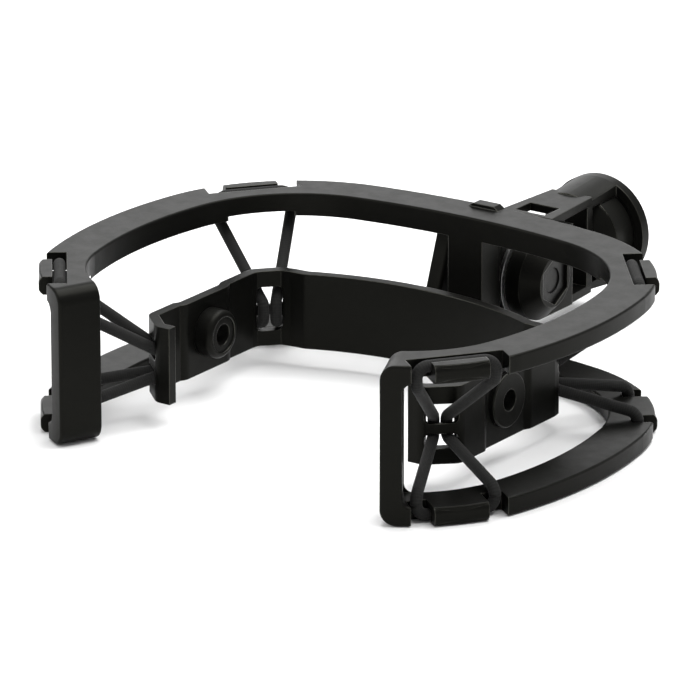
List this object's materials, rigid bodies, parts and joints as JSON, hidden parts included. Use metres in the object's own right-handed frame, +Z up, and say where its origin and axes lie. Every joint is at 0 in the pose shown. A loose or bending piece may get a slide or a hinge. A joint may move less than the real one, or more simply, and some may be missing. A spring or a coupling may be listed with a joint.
{
  "type": "microphone shock mount",
  "caption": "Open-front suspension mount for a side-hung microphone: horseshoe frame, cradle band on elastic loops, tilting thread socket at the back.",
  "frame": {"origin": "middle of the bounding box in X and Y, at its lowest point in Z, under the frame's lower rail", "axes": "+X to the mount's right seen from behind the open front, +Y to the thread socket at the back, +Z up"},
  "size_m": [0.1352, 0.156, 0.0379],
  "materials": {
    "frame": "satin black moulding",
    "cradle": "satin black moulding",
    "yoke": "satin black moulding",
    "cord": "matte braided cover over rubber",
    "boss": "satin black",
    "steel": "plain steel",
    "knob": "matte black moulding",
    "collar": "satin dark grey",
    "insert": "turned brass",
    "ring": "black"
  },
  "bodies": {
    "frame": {"outer_frame": "frame", "elastic_loop_rear_left": "cord", "elastic_loop_rear_right": "cord", "elastic_loop_front_left": "cord", "elastic_loop_front_right": "cord"},
    "cradle": {"cradle_band": "cradle", "boss_bush_left": "boss", "boss_bush_right": "boss", "boss_collar_left": "boss", "boss_collar_right": "boss"},
    "yoke": {"tilt_yoke": "yoke", "pivot_nut": "steel", "friction_washer_left": "steel", "friction_washer_right": "steel", "lock_washer": "steel", "retaining_ring": "ring"},
    "lever": {"tilt_knob": "knob", "pivot_bolt": "steel"},
    "collar": {"thread_collar": "collar", "thread_insert": "insert"}
  },
  "joints": [
    {"name": "suspension", "type": "slide", "parent": "frame", "child": "cradle", "axis": [0, 0, 1], "range_m": [-0.003, 0.003], "stiffness_N_per_m": 400, "deforming": ["elastic_loop_rear_left", "elastic_loop_rear_right", "elastic_loop_front_left", "elastic_loop_front_right"]},
    {"name": "tilt", "type": "hinge", "parent": "frame", "child": "yoke", "pos_m": [0, 0.03867, 0.0185], "axis": [1, 0, 0], "range_deg": [-60, 60]},
    {"name": "lever_turn", "type": "hinge", "parent": "yoke", "child": "lever", "pos_m": [-0.016, 0.03867, 0.0185], "axis": [1, 0, 0], "continuous": true},
    {"name": "collar_spin", "type": "hinge", "parent": "yoke", "child": "collar", "pos_m": [0, 0.06977, 0.0191], "axis": [0, 1, 0], "continuous": true}
  ]
}
